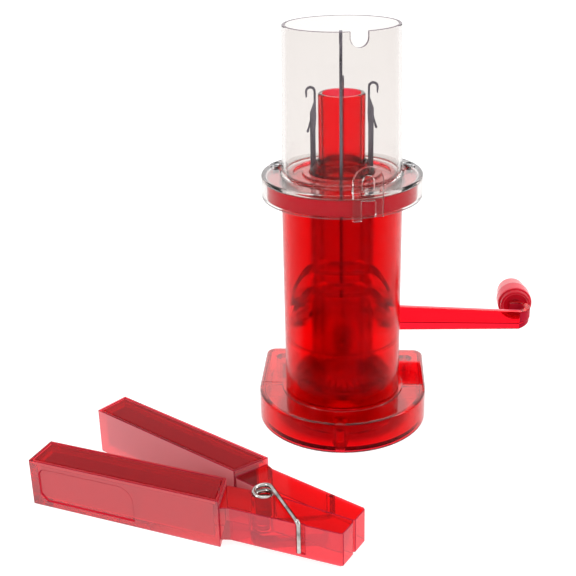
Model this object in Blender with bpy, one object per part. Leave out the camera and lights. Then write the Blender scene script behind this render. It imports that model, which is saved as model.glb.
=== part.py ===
"""A hand-cranked spool knitter with its weighted cord clip.

The spool axis is vertical. The front is -Y, the crank is at the back and its arm points to +X.
The origin is on the underside of the base plate, behind the spool axis. Lengths here are in
millimetres, and MM turns them into metres where a mesh or an empty is made.
"""

import math

import bmesh
import bpy
from mathutils import Matrix, Vector

MM = 0.001
GAP = 0.3  # between pieces that touch
SPOOL_Y = -22.0  # the spool axis, ahead of the origin
ROUND = 48  # sides of a large turned piece
SMALL = 20  # sides of a small turned piece

# Base: a half disc in front, straight sides behind.
BASE_HALF = 37.5
BASE_REAR = 36.7
BASE_CORNER = 4.5
BASE_TOP = 14.2
BASE_WALL = 2.2
PLATE_TOP = 2.2
CORD_HOLE_R = 8.0
BASE_SCREWS = {"front": (0.0, -32.0), "rear_left": (-29.0, 28.5), "rear_right": (29.0, 28.5)}
BASE_BOSS_R = 3.5

# Body tube and what stands in it.
TUBE_R = 25.5
TUBE_BORE_R = 23.3
TUBE_FOOT = BASE_TOP + GAP
FLANGE_R = 31.7
FLANGE_LOW = 104.4
FLANGE_TOP = 111.4
LINER_R = TUBE_BORE_R - GAP
CAM_BORE_R = 15.8
CAM_LOW = 39.5
CAM_HIGH = 104.6
LEDGE_BORE_R = 22.4  # the ledge that the lower cam stands on
LEDGE_LOW = 38.4
GUIDE_LOW = CAM_HIGH + GAP
GUIDE_TOP = 114.4

# Clear cover.
COVER_FOOT = FLANGE_TOP + GAP
COVER_PLATE_TOP = 113.9
COVER_R = 33.9
SKIRT_BORE_R = 32.0
SKIRT_LOW = 104.0
RIM = 175.0
RIM_R = 24.1
SHIELD_FOOT_R = 25.3
SHIELD_WALL = 1.5
COVER_SCREWS = {"left": (-28.3, 8.8), "right": (28.3, 8.8)}
YARN_AZIMUTH = math.radians(18.5)  # the notch and the guide, to the right of the front
NOTCH_HALF = 3.7
NOTCH_LOW = 168.9
GUIDE_FACE = 34.3
GUIDE_THICK = 1.8
GUIDE_HALF = 6.3
GUIDE_ARCH_Z = 119.2

# Rotor: needle bed, centre tube and crown gear.
BED_R = 13.5
BED_BORE_R = 10.0
BED_LOW = 17.2
BED_TOP = 116.3
SPOOL_R = 9.73
SPOOL_BORE_R = 7.83
SPOOL_LOW = 5.0
SPOOL_TOP = 147.35
GROOVE_R = 10.6
GROOVE_WIDE = 1.8
GROOVE_LOW = 39.5

# Needles: s is the height above a needle's foot.
NEEDLE_IN = 10.9
NEEDLE_OUT = 13.1
NEEDLE_THICK = 1.2
NEEDLE_FOOT = 42.5
NEEDLE_RISE = 22.2  # how far the cam lifts a needle
NEEDLE_STANDS = {"front": NEEDLE_RISE, "right": 0.0, "back": 0.0, "left": -1.8}
BUTT_LOW = 7.1
BUTT_HIGH = 9.5
BUTT_R = CAM_BORE_R - GAP
HOOK_S = 107.1
HOOK_R = 12.8
HOOK_OUT = 2.2
HOOK_IN = 1.3
SLOT_R = 11.2
LATCH_R = 12.2
LATCH_S = 96.8
LATCH_LONG = 7.2
LATCH_TILT = math.radians(17.0)
NEEDLE_TURNS = {"front": -90.0, "right": 0.0, "back": 90.0, "left": 180.0}

# Cam track: the height of the butts' centre round the spool.
TRACK_LOW = 50.8
TRACK_HALF = 3.0
RAIL_HIGH = 4.0
SLEEVE_R = 22.0
CAM_FLAT = math.radians(28.0)
CAM_END = math.radians(85.0)

# Gears and crank. The crank's own frame has z along the shaft to the back and y down.
CRANK_Z = 29.4
CROWN_TEETH = 36
PINION_TEETH = 14
CROWN_IN = BED_R + GAP
CROWN_OUT = 20.6
CROWN_LOW = 16.8
CROWN_ROOT = 20.9
CROWN_TIP = 23.1
PINION_ROOT_R = 5.9
PINION_TIP_R = 8.0
PINION_FACE = (16.0, 20.4)
SHAFT_R = 3.0
BOSS_R = 9.5
BOSS_FACE = (22.0, 35.5)
BOSS_BORE_R = 4.9
ARM_MID = 40.5
ARM_THICK = 3.0
ARM_LONG = 83.9
CURL_R = 4.0
KNOB_X = 83.3
KNOB_RISE = 2.2
KNOB_NEAR = 50.8
KNOB_FAR = 70.8

# Clip: u runs along the closed jaws, v across them, from the coil's axis.
CLIP_AT = (-27.1, -93.4)
CLIP_TURN = math.radians(-26.5)
CLIP_HIGH = 20.0
JAW_LOW = 3.0
JAW_HIGH = 17.0
JAW_TIP = (38.4, 9.1)
SHOULDER = (-8.4, 17.3)
WAIST = (-5.2, 15.2)
INNER_SHOULDER = (-14.7, 2.6)
HANDLE_SPREAD = math.radians(8.7)
HANDLE_WIDE = 15.45
HANDLE_LONG = 82.4
HANDLE_WALL = 2.4
HANDLE_LIP = 1.2
LID_SEAT = 17.6
COIL_R = 3.45
WIRE_R = 0.85
COIL_LOW = 1.75
COIL_TOP = 18.1
LEG_BEND = (22.4, 12.0)
COIL_TURNS = 6.7


# ---- building blocks ----------------------------------------------------------------------------


def clear_scene():
    for old in list(bpy.data.objects):
        bpy.data.objects.remove(old, do_unlink=True)


def material(name, color, roughness, metallic=0.0, transmission=0.0):
    made = bpy.data.materials.new(name)
    made.use_nodes = True
    shader = made.node_tree.nodes["Principled BSDF"]
    shader.inputs["Base Color"].default_value = (*color, 1.0)
    shader.inputs["Roughness"].default_value = roughness
    shader.inputs["Metallic"].default_value = metallic
    shader.inputs["Transmission Weight"].default_value = transmission
    return made


def arc(centre, radius, start, end, steps):
    """Points round a circle, with the angles in degrees."""
    angles = [math.radians(start + (end - start) * i / steps) for i in range(steps + 1)]
    return [(centre[0] + radius * math.cos(a), centre[1] + radius * math.sin(a)) for a in angles]


def inset(outline, distance):
    """A convex outline with every edge moved inwards; the points run anticlockwise."""
    moved = []
    for before, here, after in zip(outline[-1:] + outline[:-1], outline, outline[1:] + outline[:1]):
        a = (Vector(here) - Vector(before)).normalized()
        b = (Vector(after) - Vector(here)).normalized()
        corner = Vector((-a.y, a.x)) + Vector((-b.y, b.x))
        moved.append(tuple(Vector(here) + corner * (2 * distance / corner.length_squared)))
    return moved


def level(outline, z):
    return [(x, y, z) for x, y in outline]


def outward(bm):
    bm.normal_update()
    bmesh.ops.recalc_face_normals(bm, faces=bm.faces)
    return bm


def loft(sections, closed=False):
    """Skins loops of equal length; an open loft is capped at both ends."""
    bm = bmesh.new()
    rings = [[bm.verts.new(point) for point in section] for section in sections]
    followers = rings[1:] + rings[:1] if closed else rings[1:]
    for low, high in zip(rings, followers):
        for i, j in zip(range(len(low)), list(range(1, len(low))) + [0]):
            bm.faces.new((low[i], low[j], high[j], high[i]))
    if not closed:
        bm.faces.new(rings[0])
        bm.faces.new(rings[-1])
    return outward(bm)


def prism(outline, low, high):
    return loft([level(outline, low), level(outline, high)])


def lathe(profile, sides):
    """Turns (radius, height) points about Z. A profile whose ends lie on the axis stays open."""
    bm = bmesh.new()
    points = [bm.verts.new((r, 0.0, z)) for r, z in profile]
    followers = points[1:] if profile[0][0] == 0 else points[1:] + points[:1]
    edges = [bm.edges.new(pair) for pair in zip(points, followers)]
    full = 2 * math.pi
    bmesh.ops.spin(bm, geom=points + edges, cent=(0, 0, 0), axis=(0, 0, 1), angle=full, steps=sides)
    bmesh.ops.remove_doubles(bm, verts=bm.verts, dist=0.001)
    return outward(bm)


def rod(radius, low, high, sides=SMALL):
    return lathe([(0, low), (radius, low), (radius, high), (0, high)], sides)


def tube(inner, outer, low, high, sides=ROUND):
    return lathe([(inner, low), (outer, low), (outer, high), (inner, high)], sides)


def box(low, high):
    (x0, y0, z0), (x1, y1, z1) = low, high
    return prism([(x0, y0), (x1, y0), (x1, y1), (x0, y1)], z0, z1)


def moved(bm, matrix):
    bm.transform(matrix)
    return outward(bm)


def shifted(bm, x, y, z=0.0):
    return moved(bm, Matrix.Translation((x, y, z)))


def joined(parts):
    """Several separate solids in one mesh, for use as one cutter."""
    whole = bmesh.new()
    for part in parts:
        piece = bpy.data.meshes.new("piece")
        part.to_mesh(piece)
        part.free()
        whole.from_mesh(piece)
        bpy.data.meshes.remove(piece)
    return whole


def empty(name, parent=None, at=(0, 0, 0), turn=(0, 0, 0)):
    made = bpy.data.objects.new(name, None)
    bpy.context.scene.collection.objects.link(made)
    made.parent = parent
    made.location = Vector(at) * MM
    made.rotation_euler = turn
    return made


def mesh_of(name, bm):
    bm.transform(Matrix.Scale(MM, 4))
    mesh = bpy.data.meshes.new(name)
    bm.to_mesh(mesh)
    bm.free()
    mesh.shade_smooth()
    mesh.set_sharp_from_angle(angle=math.radians(32))
    return mesh


def add(name, mesh, parent, finish=None):
    made = bpy.data.objects.new(name, mesh)
    bpy.context.scene.collection.objects.link(made)
    made.parent = parent
    if finish and not mesh.materials:
        mesh.materials.append(finish)
    return made


def node(name, bm, parent, finish):
    return add(name, mesh_of(name, bm), parent, finish)


def boolean(target, bm, operation="DIFFERENCE"):
    """Adds a Boolean with a hidden helper that shares the target's parent."""
    name = f"{target.name}_{operation.lower()}_{len(target.modifiers)}"
    helper = add(name, mesh_of(name, bm), target.parent)
    helper.hide_render = True
    helper.display_type = "WIRE"
    modifier = target.modifiers.new(name, "BOOLEAN")
    modifier.operation = operation
    modifier.object = helper
    modifier.solver = "EXACT"


# ---- base ---------------------------------------------------------------------------------------


def base_outline(distance):
    half = BASE_HALF - distance
    rear = BASE_REAR - distance
    corner = max(BASE_CORNER - distance, 1.0)
    front = arc((0, 0), half, 180, 360, 30)
    right = arc((half - corner, rear - corner), corner, 0, 90, 4)
    left = arc((corner - half, rear - corner), corner, 90, 180, 4)
    return front + right + left


def base_housing(parent, finish):
    ceiling = BASE_TOP - 2.0
    steps = [
        (BASE_WALL + 0.2, ceiling),
        (BASE_WALL, 0.0),
        (0.0, 0.0),
        (0.0, BASE_TOP - 1.4),
        (0.5, BASE_TOP - 0.4),
        (1.6, BASE_TOP),
    ]
    made = node("base_housing", loft([level(base_outline(d), z) for d, z in steps]), parent, finish)
    inside = ceiling + 0.6
    places = BASE_SCREWS.values()
    bosses = [shifted(rod(BASE_BOSS_R, PLATE_TOP + 0.4, inside), x, y) for x, y in places]
    ribs = [box((mid - 4.2, -1.3, 6.0), (mid + 4.2, 0.3, inside)) for mid in (-31.5, 31.5)]
    socket = tube(TUBE_BORE_R, TUBE_R, PLATE_TOP + 0.4, inside)
    boolean(made, joined(bosses + ribs + [socket]), "UNION")
    pilots = [shifted(rod(1.4, 0.0, 9.0, 12), x, y) for x, y in places]
    boolean(made, joined(pilots + [rod(SPOOL_R + 0.5, 11.0, 16.0, ROUND)]))


def base_plate(parent, finish):
    plate = prism(base_outline(BASE_WALL + GAP), 0.0, PLATE_TOP)
    made = node("base_plate", plate, parent, finish)
    seat = [(0, -1), (2.9, -1), (2.9, 1.2), (1.7, 1.2), (1.7, 3.5), (0, 3.5)]
    holes = [shifted(lathe(seat, SMALL), x, y) for x, y in BASE_SCREWS.values()]
    boolean(made, joined(holes + [rod(CORD_HOLE_R, -1.0, 3.5, ROUND)]))


def base_screws(parent, finish):
    profile = [(0, 0.15), (2.6, 0.15), (2.6, 0.6), (1.9, 0.9), (1.1, 0.9), (1.1, 8.5), (0, 8.5)]
    for place, (x, y) in BASE_SCREWS.items():
        node(f"base_screw_{place}", shifted(lathe(profile, 16), x, y), parent, finish)


# ---- body ---------------------------------------------------------------------------------------


def body_tube(parent, crank_line, finish):
    profile = [
        (TUBE_BORE_R, TUBE_FOOT),
        (TUBE_R, TUBE_FOOT),
        (TUBE_R, FLANGE_LOW - 0.8),
        (TUBE_R + 0.8, FLANGE_LOW),
        (FLANGE_R, FLANGE_LOW),
        (FLANGE_R, FLANGE_TOP),
        (TUBE_BORE_R, FLANGE_TOP),
        (TUBE_BORE_R, CAM_LOW - GAP),
        (LEDGE_BORE_R, CAM_LOW - GAP),
        (LEDGE_BORE_R, LEDGE_LOW),
        (TUBE_BORE_R, LEDGE_LOW),
    ]
    made = node("body_tube", lathe(profile, ROUND), parent, finish)
    lay = Matrix.Translation((0, 0, CRANK_Z)) @ Matrix.Rotation(math.radians(-90), 4, "X")
    boolean(made, moved(rod(BOSS_R, *BOSS_FACE, 32), lay), "UNION")
    places = COVER_SCREWS.values()
    pilots = [shifted(rod(1.4, FLANGE_LOW - 1, FLANGE_TOP + 1, 12), x, y) for x, y in places]
    bore = moved(rod(BOSS_BORE_R, BOSS_FACE[0] - 2, BOSS_FACE[1] + 2, 24), lay)
    boolean(made, joined(pilots + [bore]))
    bushing = [
        (SHAFT_R + 0.2, BOSS_FACE[0] + GAP),
        (BOSS_BORE_R - GAP, BOSS_FACE[0] + GAP),
        (BOSS_BORE_R - GAP, BOSS_FACE[1] + GAP),
        (6.6, BOSS_FACE[1] + GAP),
        (6.6, BOSS_FACE[1] + 1.4),
        (SHAFT_R + 0.2, BOSS_FACE[1] + 1.4),
    ]
    node("crank_bushing", lathe(bushing, 24), crank_line, finish)


def track_height(angle):
    """The height of the needle butts' track at this angle from the front."""
    away = abs(math.remainder(angle, 2 * math.pi))
    share = min(max((away - CAM_FLAT) / (CAM_END - CAM_FLAT), 0.0), 1.0)
    return TRACK_LOW + NEEDLE_RISE * 0.5 * (1 + math.cos(math.pi * share))


def cam_ring(name, edge, side, parent, finish):
    """A sleeve with a rail along the track; side is +1 above the track and -1 below it."""
    sections = []
    for i in range(60):
        angle = 2 * math.pi * i / 60
        track = track_height(angle) + side * TRACK_HALF
        back = track + side * RAIL_HIGH
        across = [(SLEEVE_R, edge), (LINER_R, edge), (LINER_R, track), (CAM_BORE_R, track)]
        across += [(CAM_BORE_R, back), (SLEEVE_R, back)]
        sections.append([(r * math.sin(angle), -r * math.cos(angle), z) for r, z in across])
    node(name, loft(sections, closed=True), parent, finish)


def guide_ring(parent, finish):
    bore = BED_R + GAP
    profile = [
        (bore, GUIDE_LOW),
        (LINER_R, GUIDE_LOW),
        (LINER_R, GUIDE_TOP - 1.0),
        (LINER_R - 1.0, GUIDE_TOP),
        (20.6, GUIDE_TOP),
        (20.2, GUIDE_TOP - 0.9),
        (16.8, GUIDE_TOP - 0.9),
        (16.4, GUIDE_TOP),
        (bore, GUIDE_TOP),
    ]
    node("guide_ring", lathe(profile, ROUND), parent, finish)


# ---- clear cover --------------------------------------------------------------------------------


def yarn_frame():
    """Turns x outwards and y along the rim, at the yarn notch."""
    return Matrix.Rotation(YARN_AZIMUTH - math.radians(90), 4, "Z")


def upright(outline, low, high):
    """A plate from (along, height) points, reaching from one radius to another."""
    return loft([[(x, t, z) for t, z in outline] for x in (low, high)])


def top_cover(parent, finish):
    profile = [
        (SHIELD_FOOT_R - SHIELD_WALL, COVER_FOOT),
        (SKIRT_BORE_R, COVER_FOOT),
        (SKIRT_BORE_R, SKIRT_LOW),
        (COVER_R, SKIRT_LOW),
        (COVER_R, COVER_PLATE_TOP - 0.4),
        (COVER_R - 0.4, COVER_PLATE_TOP),
        (SHIELD_FOOT_R + 1.0, COVER_PLATE_TOP),
        (SHIELD_FOOT_R, COVER_PLATE_TOP + 1.0),
        (RIM_R, RIM),
        (RIM_R - SHIELD_WALL, RIM),
    ]
    made = node("top_cover", lathe(profile, ROUND), parent, finish)
    top = RIM + 5
    notch = [(-NOTCH_HALF, top)] + arc((0, NOTCH_LOW + NOTCH_HALF), NOTCH_HALF, 180, 360, 12)
    notch = upright(notch + [(NOTCH_HALF, top)], 18.0, 30.0)
    places = COVER_SCREWS.values()
    holes = [shifted(rod(1.5, COVER_FOOT - 1, COVER_PLATE_TOP + 1, 12), x, y) for x, y in places]
    boolean(made, joined(holes + [moved(notch, yarn_frame())]))


def cover_screws(parent, finish):
    head = COVER_PLATE_TOP + GAP
    shank = [(0, 105.0), (1.1, 105.0), (1.1, head)]
    profile = shank + [(2.6, head), (2.6, head + 0.5), (1.5, head + 1.3), (0, head + 1.4)]
    for side, (x, y) in COVER_SCREWS.items():
        node(f"cover_screw_{side}", shifted(lathe(profile, 16), x, y), parent, finish)


def yarn_guide(parent, finish):
    slot_top = 111.6
    outline = [(-2.7, slot_top), (-2.7, 103.6), (-GUIDE_HALF, 103.6)]
    outline += arc((0, GUIDE_ARCH_Z), GUIDE_HALF, 180, 0, 16)
    outline += [(GUIDE_HALF, 104.8), (3.1, 104.8), (3.1, slot_top)]
    frame = yarn_frame()
    plate = upright(outline, GUIDE_FACE, GUIDE_FACE + GUIDE_THICK)
    made = node("yarn_guide", moved(plate, frame), parent, finish)
    foot = COVER_PLATE_TOP + GAP
    lug = box((31.0, -5.6, foot), (GUIDE_FACE + 0.4, 5.6, foot + 1.4))
    boolean(made, moved(lug, frame), "UNION")
    hole = [(2.4, 116.0)] + arc((0, 119.4), 2.4, 0, 180, 10) + [(-2.4, 116.0)]
    boolean(made, moved(upright(hole, GUIDE_FACE - 0.2, 40.0), frame))


# ---- rotor --------------------------------------------------------------------------------------


def needle_bed(parent, finish):
    profile = [
        (BED_BORE_R, BED_LOW),
        (BED_R, BED_LOW),
        (BED_R, BED_TOP - 0.8),
        (BED_R - 0.8, BED_TOP),
        (10.9, 118.8),
        (BED_BORE_R, 119.0),
    ]
    made = node("needle_bed", lathe(profile, ROUND), parent, finish)
    half = GROOVE_WIDE / 2
    grooves = []
    for turn in NEEDLE_TURNS.values():
        groove = box((GROOVE_R, -half, GROOVE_LOW), (15.0, half, 125.0))
        grooves.append(moved(groove, Matrix.Rotation(math.radians(turn), 4, "Z")))
    boolean(made, joined(grooves))


def centre_tube(parent, finish):
    profile = [
        (SPOOL_BORE_R, SPOOL_LOW),
        (SPOOL_R, SPOOL_LOW),
        (SPOOL_R, SPOOL_TOP - 0.7),
        (SPOOL_R - 0.5, SPOOL_TOP),
        (SPOOL_BORE_R + 0.4, SPOOL_TOP),
        (SPOOL_BORE_R, SPOOL_TOP - 0.5),
    ]
    node("centre_tube", lathe(profile, 40), parent, finish)


def crown_gear(parent, finish):
    """A face gear with its teeth up. One tooth points to +Y, where the pinion's gap is."""
    sections = []
    for i in range(CROWN_TEETH):
        tooth = ((-0.27, CROWN_ROOT), (-0.11, CROWN_TIP), (0.11, CROWN_TIP), (0.27, CROWN_ROOT))
        for share, top in tooth:
            angle = math.radians(90) + (i + share) * 2 * math.pi / CROWN_TEETH
            across = [(CROWN_IN, CROWN_LOW), (CROWN_OUT, CROWN_LOW), (CROWN_OUT, top), (CROWN_IN, top)]
            sections.append([(r * math.cos(angle), r * math.sin(angle), z) for r, z in across])
    node("crown_gear", loft(sections, closed=True), parent, finish)


# ---- needles ------------------------------------------------------------------------------------


def needle_outline():
    """One needle in (radius, height above its foot): foot, butt, cheeks, hook, then back down."""
    down = [(NEEDLE_IN, 0.0), (NEEDLE_OUT - 0.6, 0.0), (NEEDLE_OUT, 0.8), (NEEDLE_OUT, BUTT_LOW)]
    butt = [(BUTT_R, BUTT_LOW), (BUTT_R, BUTT_HIGH), (NEEDLE_OUT, BUTT_HIGH)]
    cheek = [(NEEDLE_OUT, LATCH_S + 1.6), (HOOK_R - HOOK_IN, 102.8)]
    under = arc((HOOK_R, HOOK_S), HOOK_IN, 180, 0, 8)
    tip = [(HOOK_R + HOOK_IN + 0.1, HOOK_S - 2.2), (HOOK_R + HOOK_IN + 0.6, HOOK_S - 2.6)]
    over = arc((HOOK_R, HOOK_S), HOOK_OUT, 0, 180, 10)
    back = [(HOOK_R - HOOK_OUT, 100.5), (10.5, LATCH_S), (NEEDLE_IN, 91.0)]
    return down + butt + cheek + under + tip + over + back


def flat(outline, thickness):
    """A plate across y from (x, z) points."""
    return loft([[(x, y, z) for x, z in outline] for y in (-thickness / 2, thickness / 2)])


def baked(source):
    """The source's mesh with its modifiers applied; the source and its helpers are removed."""
    graph = bpy.context.evaluated_depsgraph_get()
    mesh = bpy.data.meshes.new_from_object(source.evaluated_get(graph))
    for helper in [modifier.object for modifier in source.modifiers] + [source]:
        bpy.data.objects.remove(helper, do_unlink=True)
    return mesh


def needle_mesh(finish):
    made = node("needle_blank", flat(needle_outline(), NEEDLE_THICK), None, finish)
    boolean(made, box((SLOT_R, -0.35, LATCH_S - 5.6), (14.0, 0.35, LATCH_S + 3.2)))
    lay = Matrix.Translation((LATCH_R, 0, LATCH_S)) @ Matrix.Rotation(math.radians(90), 4, "X")
    boolean(made, moved(rod(0.32, -0.5, 0.5, 10), lay), "UNION")
    return baked(made)


def latch_mesh(finish):
    """The latch in its rivet's frame, hanging open: down, and tilted out."""
    blade = arc((0, 0), 0.85, 35, 325, 12)
    neck, cheek = LATCH_LONG - 2.2, LATCH_LONG - 0.6
    spoon = [(neck, -0.4), (cheek, -0.55), (LATCH_LONG, 0.0), (cheek, 0.55), (neck, 0.4)]
    made = node("latch_blank", flat(blade + spoon, 0.4), None, finish)
    boolean(made, moved(rod(0.45, -1.0, 1.0, 10), Matrix.Rotation(math.radians(90), 4, "X")))
    mesh = baked(made)
    mesh.transform(Matrix.Rotation(math.radians(90) - LATCH_TILT, 4, "Y"))
    return mesh


def needles(rotor, finish):
    needle, latch = needle_mesh(finish), latch_mesh(finish)
    for side, turn in NEEDLE_TURNS.items():
        foot = NEEDLE_FOOT + NEEDLE_STANDS[side]
        slide = empty(f"needle_{side}_axis", rotor, (0, 0, foot), (0, 0, math.radians(turn)))
        rivet = empty(f"latch_{side}_axis", slide, (LATCH_R, 0, LATCH_S))
        add(f"needle_{side}", needle, slide)
        add(f"latch_{side}", latch, rivet)


# ---- crank --------------------------------------------------------------------------------------


def crank_pinion(parent, finish):
    """A spur pinion, with a gap pointing down at the crown gear."""
    near, far = PINION_FACE
    bore = SHAFT_R + GAP
    sections = []
    for i in range(PINION_TEETH):
        tooth = ((-0.28, PINION_ROOT_R), (-0.1, PINION_TIP_R), (0.1, PINION_TIP_R), (0.28, PINION_ROOT_R))
        for share, outer in tooth:
            angle = math.radians(90) + (i + 0.5 + share) * 2 * math.pi / PINION_TEETH
            across = [(bore, near), (outer, near), (outer, far), (bore, far)]
            sections.append([(r * math.cos(angle), r * math.sin(angle), z) for r, z in across])
    node("crank_pinion", loft(sections, closed=True), parent, finish)


def crank_shaft(parent, finish):
    seat = BOSS_FACE[1] + 1.6
    profile = [
        (0, 14.4),
        (SHAFT_R, 14.4),
        (SHAFT_R, seat),
        (2.4, seat),
        (2.4, 41.6),
        (1.5, 41.6),
        (1.5, 33.5),
        (0, 33.5),
    ]
    node("crank_shaft", lathe(profile, SMALL), parent, finish)


def crank_screw(parent, finish):
    profile = [(0, 34.0), (1.2, 34.0), (1.2, 42.3), (3.4, 42.3), (3.4, 43.0), (2.2, 43.9), (0, 44.0)]
    node("crank_screw", lathe(profile, 16), parent, finish)


def arm_sections():
    """Upright sections of the strap: straight and tapering, then curled back behind its end."""
    half = ARM_THICK / 2
    stations = [((x, ARM_MID), (0, -1), 0.0) for x in (0.0, ARM_LONG / 2, ARM_LONG)]
    for i in range(1, 9):
        a = math.radians(-90 + 180 * i / 8)
        out = (math.cos(a), math.sin(a))
        stations.append(((ARM_LONG + CURL_R * out[0], ARM_MID + CURL_R + CURL_R * out[1]), out, i / 8))
    stations.append(((ARM_LONG - 4.0, ARM_MID + 2 * CURL_R), (0, 1), 1.0))
    sections = []
    for (x, z), (nx, nz), curl in stations:
        along = min(x / ARM_LONG, 1.0) if curl == 0 else 1.0
        top = -(6.9 - 2.9 * along) - 1.2 * curl
        bottom = 6.9 - 1.7 * along - 4.2 * math.sin(curl * math.pi / 2)
        outer, inner = (x + nx * half, z + nz * half), (x - nx * half, z - nz * half)
        corners = [(outer, top), (inner, top), (inner, bottom), (outer, bottom)]
        sections.append([(px, y, pz) for (px, pz), y in corners])
    return sections


def crank_arm(parent, finish):
    made = node("crank_arm", loft(arm_sections()), parent, finish)
    boolean(made, rod(8.6, BOSS_FACE[1] + 1.9, ARM_MID + ARM_THICK / 2, 32), "UNION")
    boolean(made, rod(2.7, 30.0, 50.0, SMALL))


def knob_pin(parent, finish):
    back = ARM_MID + 2 * CURL_R + ARM_THICK / 2 + GAP
    profile = [
        (0, back),
        (3.0, back),
        (3.0, back + 1.3),
        (2.0, back + 1.3),
        (2.0, KNOB_FAR - 1.9),
        (3.6, KNOB_FAR - 1.9),
        (3.2, KNOB_FAR - 0.6),
        (0, KNOB_FAR - 0.5),
    ]
    node("knob_pin", shifted(lathe(profile, SMALL), KNOB_X, -KNOB_RISE), parent, finish)


def crank_knob(parent, finish):
    """A hollow knob: a web on the pin near the arm, stepped down to a bearing at its far end."""
    profile = [
        (5.9, KNOB_NEAR),
        (7.1, KNOB_NEAR),
        (7.3, KNOB_NEAR + 1.6),
        (8.2, KNOB_NEAR + 3.0),
        (8.2, KNOB_NEAR + 10.0),
        (6.9, KNOB_NEAR + 10.6),
        (6.8, KNOB_FAR - 0.8),
        (6.0, KNOB_FAR),
        (4.2, KNOB_FAR),
        (4.2, KNOB_FAR - 2.2),
        (2.3, KNOB_FAR - 2.2),
        (2.3, KNOB_FAR - 6.2),
        (5.9, KNOB_FAR - 6.2),
        (5.9, KNOB_NEAR + 2.6),
        (2.3, KNOB_NEAR + 2.6),
        (2.3, KNOB_NEAR + 1.1),
        (5.9, KNOB_NEAR + 1.1),
    ]
    node("crank_knob", lathe(profile, 32), parent, finish)


# ---- clip ---------------------------------------------------------------------------------------


def handle_outline():
    """The rear handle seen from above, anticlockwise."""
    away = Vector((-math.cos(HANDLE_SPREAD), math.sin(HANDLE_SPREAD)))
    out = Vector((math.sin(HANDLE_SPREAD), math.cos(HANDLE_SPREAD)))
    end = Vector(SHOULDER) + away * HANDLE_LONG
    return [tuple(end), tuple(end - out * HANDLE_WIDE), INNER_SHOULDER, SHOULDER]


def jaw_outline():
    """The rear jaw seen from above; its root lies inside the handle's front wall."""
    inner, outer = Vector(INNER_SHOULDER), Vector(SHOULDER)
    along = (outer - inner).normalized()
    back = Vector((-along.y, along.x)) * 1.5
    root = [tuple(outer + back - along), tuple(inner + back + along)]
    tip_u, tip_v = JAW_TIP
    mouth = [(-13.5, 2.7), (0.0, 0.6), (5.4, GAP / 2), (tip_u - 0.8, GAP / 2), (tip_u, 0.9)]
    return root + mouth + [(tip_u, tip_v - 0.8), (tip_u - 0.8, tip_v), WAIST, (-8.0, 16.6)]


def thumb_recess():
    """A shallow rounded panel in the handle's outer side, near its end."""
    long, corner = 42.0, 6.5
    outline = [(0.0, 2.6), (long, 2.6)] + arc((long - corner, 16.8 - corner), corner, 0, 90, 6)
    outline += arc((3.0, 13.8), 3.0, 90, 180, 4)
    plate = loft([[(x, y, z) for x, z in outline] for y in (-0.6, 3.0)])
    start = Vector(handle_outline()[0])
    place = Matrix.Translation((start.x, start.y, 0)) @ Matrix.Rotation(-HANDLE_SPREAD, 4, "Z")
    return moved(plate, place @ Matrix.Translation((4.0, 0, 0)))


def leg_slot(low, high):
    u, v = LEG_BEND
    return box((u - 1.4, v - 1.5, low), (u + 1.8, v + 3.0, high))


def clip_half(name, side, parent, finish, steel):
    """One arm, its weight and its lid. side is +1 for the rear arm and -1 for the front one."""
    mirror = Matrix.Scale(side, 4, (0, 1, 0))
    outline = handle_outline()

    def wall(distance, z):
        return level(inset(outline, distance), z)

    floor = HANDLE_WALL
    cup = loft([
        wall(HANDLE_WALL, floor),
        wall(HANDLE_WALL, LID_SEAT),
        wall(HANDLE_LIP, LID_SEAT),
        wall(HANDLE_LIP, CLIP_HIGH),
        wall(0.0, CLIP_HIGH),
        wall(0.0, 0.0),
    ])
    arm = node(f"clip_arm_{name}", moved(cup, mirror), parent, finish)
    boolean(arm, moved(prism(jaw_outline(), JAW_LOW, JAW_HIGH), mirror), "UNION")
    slot = leg_slot(-1.0, 15.5) if side > 0 else leg_slot(4.5, 25.0)
    coil = rod(COIL_R + WIRE_R + 0.45, -1.0, 25.0, 24)
    boolean(arm, moved(joined([coil, slot, thumb_recess()]), mirror))
    weight = loft([wall(HANDLE_WALL + GAP, floor + GAP), wall(HANDLE_WALL + GAP, LID_SEAT - GAP)])
    node(f"clip_weight_{name}", moved(weight, mirror), parent, steel)
    lid = loft([wall(HANDLE_LIP + GAP, LID_SEAT + GAP), wall(HANDLE_LIP + GAP, CLIP_HIGH - 0.1)])
    node(f"clip_lid_{name}", moved(lid, mirror), parent, finish)


def spring_route():
    """The wire's centre line: down the rear slot, under the jaw, up the coil, over the front jaw."""
    u, v = LEG_BEND
    swing = math.acos(COIL_R / math.hypot(u, v)) - math.atan2(v, u)
    bend = 1.3
    rear = [(u, v, 14.5), (u, v, COIL_LOW + bend)]
    rear += [(u - 0.35, v - 0.2, COIL_LOW + 0.35), (u - 1.1, v - 0.6, COIL_LOW)]
    turn = -(2 * math.pi * COIL_TURNS)
    count = 82
    coil = []
    for i in range(count + 1):
        angle = -swing + turn * i / count
        z = COIL_LOW + (COIL_TOP - COIL_LOW) * i / count
        coil.append((COIL_R * math.cos(angle), COIL_R * math.sin(angle), z))
    front = [(u - 1.1, 0.6 - v, COIL_TOP), (u - 0.35, 0.2 - v, COIL_TOP - 0.35)]
    front += [(u, -v, COIL_TOP - bend), (u, -v, 5.5)]
    return rear + coil + front


def clip_spring(parent, finish):
    curve = bpy.data.curves.new("clip_spring", "CURVE")
    curve.dimensions = "3D"
    curve.bevel_depth = WIRE_R * MM
    curve.bevel_resolution = 1
    curve.use_fill_caps = True
    route = spring_route()
    spline = curve.splines.new("POLY")
    spline.points.add(len(route) - 1)
    for point, place in zip(spline.points, route):
        point.co = (*(Vector(place) * MM), 1.0)
    curve.materials.append(finish)
    add("clip_spring", curve, parent)


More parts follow.
